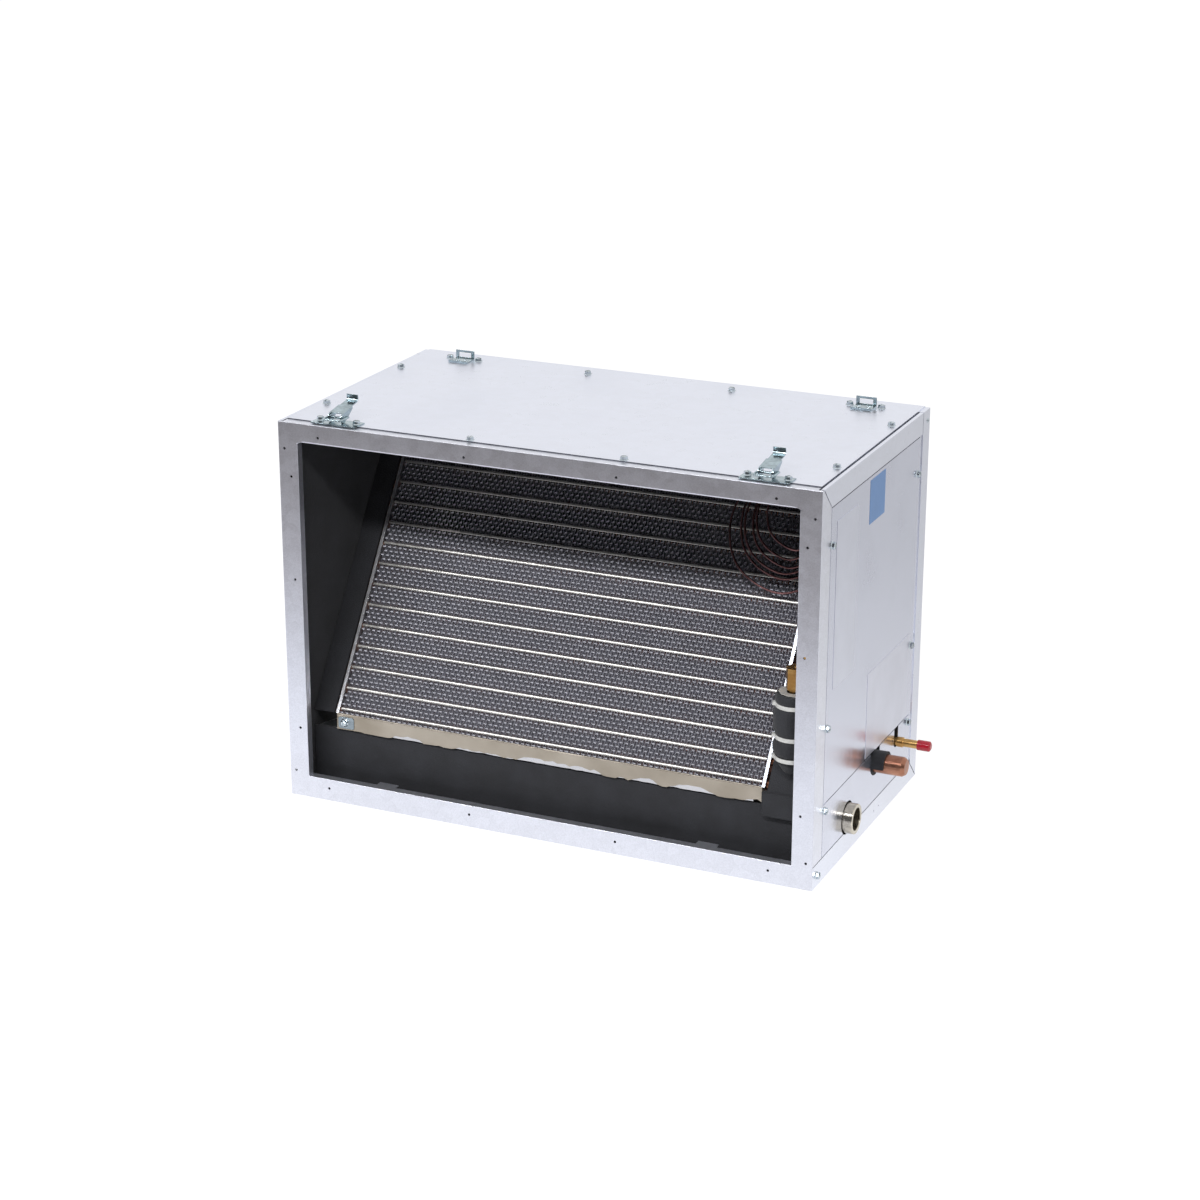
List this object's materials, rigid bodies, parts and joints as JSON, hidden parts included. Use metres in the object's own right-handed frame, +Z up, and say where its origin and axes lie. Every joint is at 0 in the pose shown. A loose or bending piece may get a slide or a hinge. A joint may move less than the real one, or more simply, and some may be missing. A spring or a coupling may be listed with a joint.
{
  "type": "evaporator coil",
  "caption": "Cased slant evaporator coil module with drain pan, expansion valve, side pipe stubs, removable access panel and draw latches on top.",
  "frame": {"origin": "centre of the cabinet on the plane it stands on", "axes": "+X towards the side with the pipes, +Y towards the back, away from the side that shows the coil face, +Z up"},
  "size_m": [0.678, 0.35, 0.4693],
  "materials": {
    "galvanised_sheet": "galvanised sheet steel, dull, faint brushed grain",
    "bright_zinc": "zinc-plated, satin",
    "fin_aluminium": "thin rippled fins",
    "tube_copper": "drawn copper, dull",
    "line_brass": "plain brass",
    "black_foam": "closed-cell foam, matt",
    "channel_sheet": "galvanised sheet, warm tone",
    "pan_sheet": "coated sheet",
    "coupling_metal": "machined nickel tone",
    "red_plastic": "red cap plastic",
    "white_plastic": "white nylon",
    "dark_copper": "oxidised copper",
    "label_white": "blank film label",
    "label_blue": "blank blue film label"
  },
  "bodies": {
    "cabinet": {"base_tray": "galvanised_sheet", "tray_sides": "galvanised_sheet", "front_frame": "galvanised_sheet", "back_frame": "galvanised_sheet", "left_panel": "galvanised_sheet", "left_top_rail": "galvanised_sheet", "right_top_rail": "galvanised_sheet", "top_cover": "galvanised_sheet", "cover_screws": "bright_zinc", "pipe_panel": "galvanised_sheet", "pipe_liner": "black_foam", "panel_screws": "bright_zinc", "left_liner": "black_foam", "top_liner": "black_foam", "bottom_liner": "black_foam", "fin_pack": "fin_aluminium", "left_end_plate": "galvanised_sheet", "right_end_plate": "galvanised_sheet", "coil_tubes": "tube_copper", "tube_bends": "tube_copper", "bottom_channel": "channel_sheet", "top_baffle": "galvanised_sheet", "left_baffle": "black_foam", "right_baffle": "black_foam", "corner_clip": "bright_zinc", "corner_screw": "bright_zinc", "drain_pan": "pan_sheet", "pan_foam": "black_foam", "drain_coupling": "coupling_metal", "suction_header": "tube_copper", "suction_line": "tube_copper", "pipe_seal": "black_foam", "liquid_line": "line_brass", "expansion_valve": "line_brass", "capillary_tubes": "dark_copper", "valve_wrap": "black_foam", "cable_ties": "white_plastic", "left_latch_base": "bright_zinc", "right_latch_base": "bright_zinc", "left_latch_pin": "bright_zinc", "right_latch_pin": "bright_zinc", "left_keeper": "bright_zinc", "right_keeper": "bright_zinc", "keeper_rivets": "bright_zinc", "frame_rivets": "bright_zinc"},
    "access_cover": {"access_panel": "galvanised_sheet", "access_liner": "black_foam", "access_screws": "bright_zinc", "rating_label": "label_white", "square_label": "label_blue", "notice_label": "label_white"},
    "cap": {"liquid_cap": "red_plastic"},
    "left_lever": {"left_latch_lever": "bright_zinc"},
    "right_lever": {"right_latch_lever": "bright_zinc"},
    "left_bail": {"left_latch_bail": "bright_zinc"},
    "right_bail": {"right_latch_bail": "bright_zinc"}
  },
  "joints": [
    {"name": "left_lever_turn", "type": "hinge", "parent": "cabinet", "child": "left_lever", "pos_m": [-0.251, -0.16, 0.4516], "axis": [1, 0, 0], "range_deg": [0, 140]},
    {"name": "left_bail_turn", "type": "hinge", "parent": "left_lever", "child": "left_bail", "pos_m": [-0.251, -0.154, 0.45149], "axis": [1, 0, 0], "range_deg": [-140, 0]},
    {"name": "right_lever_turn", "type": "hinge", "parent": "cabinet", "child": "right_lever", "pos_m": [0.251, -0.16, 0.4516], "axis": [1, 0, 0], "range_deg": [0, 140]},
    {"name": "right_bail_turn", "type": "hinge", "parent": "right_lever", "child": "right_bail", "pos_m": [0.251, -0.154, 0.45149], "axis": [1, 0, 0], "range_deg": [-140, 0]},
    {"name": "cap_pull", "type": "slide", "parent": "cabinet", "child": "cap", "axis": [1, 0, 0], "range_m": [0, 0.03]},
    {"name": "access_lift_off", "type": "slide", "parent": "cabinet", "child": "access_cover", "axis": [1, 0, 0], "range_m": [0, 0.12]}
  ],
  "couplings": [
    {"joint": "left_bail_turn", "follows": "left_lever_turn", "ratio": -1},
    {"joint": "right_bail_turn", "follows": "right_lever_turn", "ratio": -1}
  ]
}
